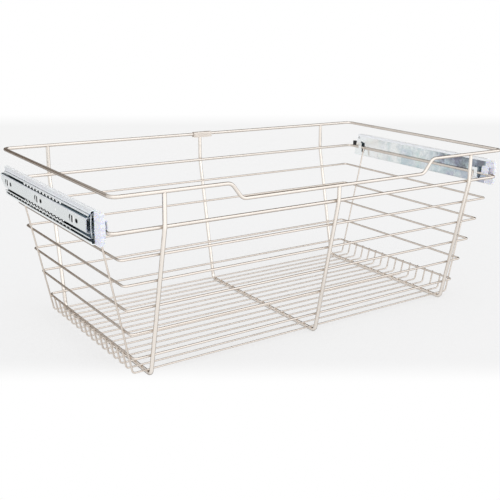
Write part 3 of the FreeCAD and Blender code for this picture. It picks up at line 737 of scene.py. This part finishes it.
def pilot_plug(side):
    """A disc that faces away from the basket, with its edge a little lower than its middle."""
    plug = bmesh.new()
    bmesh.ops.create_circle(plug, cap_ends=True, segments=16, radius=PILOT_RADIUS)
    thicken(plug, (0, 0, PILOT_SUNK + PILOT_PROUD))
    top = [face for face in plug.faces if face.calc_center_median().z > PILOT_SUNK]
    bmesh.ops.inset_region(plug, faces=top, thickness=PILOT_EDGE, depth=PILOT_DOME)
    turn = Matrix.Rotation(math.radians(90 * side), 3, "Y")
    bmesh.ops.rotate(plug, cent=(0, 0, 0), matrix=turn, verts=plug.verts)
    out = side * (SLIDE_FACE + PILOT_FACE - PILOT_SUNK)
    bmesh.ops.translate(plug, vec=(out, PILOT_ALONG, SLIDE_LEVEL), verts=plug.verts)
    return plug


slide_piece("pilot_plug_left", pilot_plug(-1), "closet_side")
slide_piece("pilot_plug_right", pilot_plug(1), "closet_side")


# Spring stops
# A tab of bright zinc plated spring sheet across the front end of each middle channel,
# held between its two flanges and bowed away from the basket.
STOP_ROOT = 0.0058
STOP_TIP = 0.0070
STOP_FRONT = -0.1590
STOP_HALF = 0.0155
STOP_SHEET = 0.0007
STOP_BOW = 0.0012
STOP_CURL = 0.0006


def stop_tab(side):
    """A flat sheet that is bowed from flange to flange and curled towards the front."""
    tab = bmesh.new()
    bmesh.ops.create_grid(tab, x_segments=4, y_segments=8, size=0.5)
    for corner in tab.verts:
        across = corner.co.x + 0.5
        up = corner.co.y * 2
        out = STOP_ROOT + (STOP_TIP - STOP_ROOT) * across + STOP_BOW * (1 - up**2)
        along = STOP_FRONT - STOP_CURL * across**2
        corner.co = (side * (SLIDE_FACE + out), along, SLIDE_LEVEL + STOP_HALF * up)
    thicken(tab, (0, -STOP_SHEET, 0))
    return tab


# The stops carry the same near white zinc, painted bright for a bright line at the front end.
slide_piece("stop_tab_left", stop_tab(-1), "middle_left")
slide_piece("stop_tab_right", stop_tab(1), "middle_right")


# Ball cages and balls
# Rows of hardened steel balls run in the slots of thin zinc plated cages, which are
# pressed from strip. Bent fingers on the edges of the inner cage cup its balls.
BALL_PITCH = 0.0126
BALL_COUNT = 12
FINGER_FACE = 0.0109
FINGER_THICK = 0.0004
FINGER_UPPER = ((-0.0046, 0.01335), (0.0046, 0.01335), (0.0014, 0.01068), (-0.0014, 0.01068))
FINGER_LOWER = ((-0.0022, 0.01335), (0.0022, 0.01335), (0.0012, 0.0115), (-0.0012, 0.0115))
CAGE_SHADE = (0.03, 0.04, 0.045, 1)
cage_finish = {
    "Colour": (0.50, 0.53, 0.53, 1),
    "Cloud Colour": (0.34, 0.38, 0.39, 1),
    "Cloud Size": 30,
    "Gloss": 0.2,
    "Gloss Change": 0.15,
    "Grain Size": 1200,
    "Grain Depth": 0.1,
}
ball_finish = {
    "Colour": (0.93, 0.94, 0.94, 1),
    "Cloud Colour": (0.86, 0.88, 0.89, 1),
    "Cloud Size": 60,
    "Gloss": 0.10,
    "Gloss Change": 0.06,
    "Grain Size": 1600,
    "Grain Depth": 0.02,
}
cage_strip, shader = plated_metal("cage_strip", cage_finish)
# Painted shade: the cage is painted dark at its tail end.
tail = between(place_on_slide(shader)["Along"], *SLIDE_TAIL)
lay_over(shader, tail, CAGE_SHADE)
polished_ball, _ = plated_metal("polished_ball", ball_finish)
for part in ("outer", "inner"):
    finish_nodes(cage_strip, [part + "_cage_left", part + "_cage_right"])
    finish_nodes(polished_ball, [part + "_balls_left", part + "_balls_right"])


def ball_fingers(name, side, body):
    """Two fingers of sheet at the first ball, above and below, and copies at all the others."""
    cups = bmesh.new()
    out = side * (SLIDE_FACE + FINGER_FACE)
    first = -(BALL_COUNT - 1) / 2 * BALL_PITCH
    for turn, outline in ((1, FINGER_UPPER), (-1, FINGER_LOWER)):
        corners = [(out, first + reach, SLIDE_LEVEL + turn * rise) for reach, rise in outline]
        cups.faces.new([cups.verts.new(corner) for corner in corners])
    thicken(cups, (side * FINGER_THICK, 0, 0))
    pair = cups.verts[:] + cups.edges[:] + cups.faces[:]
    for i in range(1, BALL_COUNT):
        copied = bmesh.ops.duplicate(cups, geom=pair)
        corners = [part for part in copied["geom"] if isinstance(part, bmesh.types.BMVert)]
        bmesh.ops.translate(cups, vec=(0, BALL_PITCH * i, 0), verts=corners)
    # Painted glints: the fingers carry the balls' bright finish, to show the ball row as bright spots in
    # the gap.
    piece = new_piece(name, cups, polished_ball)
    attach(piece, body)


ball_fingers("ball_fingers_left", -1, "inner_retainer_left")
ball_fingers("ball_fingers_right", 1, "inner_retainer_right")


# Front clips
# Moulded in natural polypropylene, which is cloudy, faintly blue and lets light in. The
# valleys between the ridges are painted darker, as shade.
CLIP_RIDGE = 0.00868
MILK = (0.93, 0.94, 1.0, 1)
MILK_CLOUD = (0.84, 0.86, 1.0, 1)
VALLEY_SHADE = (0.73, 0.755, 0.97, 1)
VALLEY_SHADE_DEPTH = 0.5
natural_plastic, shader = new_material("natural_plastic")
shader.inputs["Roughness"].default_value = 0.34
shader.inputs["Specular IOR Level"].default_value = 0.6
shader.inputs["Transmission Weight"].default_value = 0.06
shader.inputs["Subsurface Weight"].default_value = 0.5
shader.inputs["Subsurface Radius"].default_value = (0.006, 0.007, 0.010)
tree = natural_plastic.node_tree
spot = add(tree, "TexCoord").outputs["Object"]
cloud = add(tree, "TexNoise", {"Vector": spot, "Scale": 90}).outputs["Fac"]
waves = maths("COSINE", maths("MULTIPLY", place_on_slide(shader)["Rise"], math.tau / CLIP_RIDGE))
valley_shade = climb(waves, 0, 1, 0, VALLEY_SHADE_DEPTH, soft=True)
feed(shader.inputs["Base Color"], blend(valley_shade, blend(cloud, MILK, MILK_CLOUD), VALLEY_SHADE))
finish_nodes(natural_plastic, ["front_clip_left", "front_clip_right"])


# Rear bumpers
# A block of black rubber on the rear end of each closet channel, pushed on with a stem
# inside the slide. The middle channel meets it at the closed end of its travel.
SOOT = (0.012, 0.012, 0.013, 1)
WORN_SOOT = (0.03, 0.03, 0.031, 1)
RUBBER_ROUGHNESS = (0.5, 0.75)
black_rubber, shader = new_material("black_rubber")
shader.inputs["Specular IOR Level"].default_value = 0.35
tree = black_rubber.node_tree
spot = add(tree, "TexCoord").outputs["Object"]
speckle = add(tree, "TexNoise", {"Vector": spot, "Scale": 1500}).outputs["Fac"]
feed(shader.inputs["Base Color"], blend(speckle, SOOT, WORN_SOOT))
feed(shader.inputs["Roughness"], climb(speckle, 0, 1, *RUBBER_ROUGHNESS))
finish_nodes(black_rubber, ["rear_bumper_left", "rear_bumper_right"])
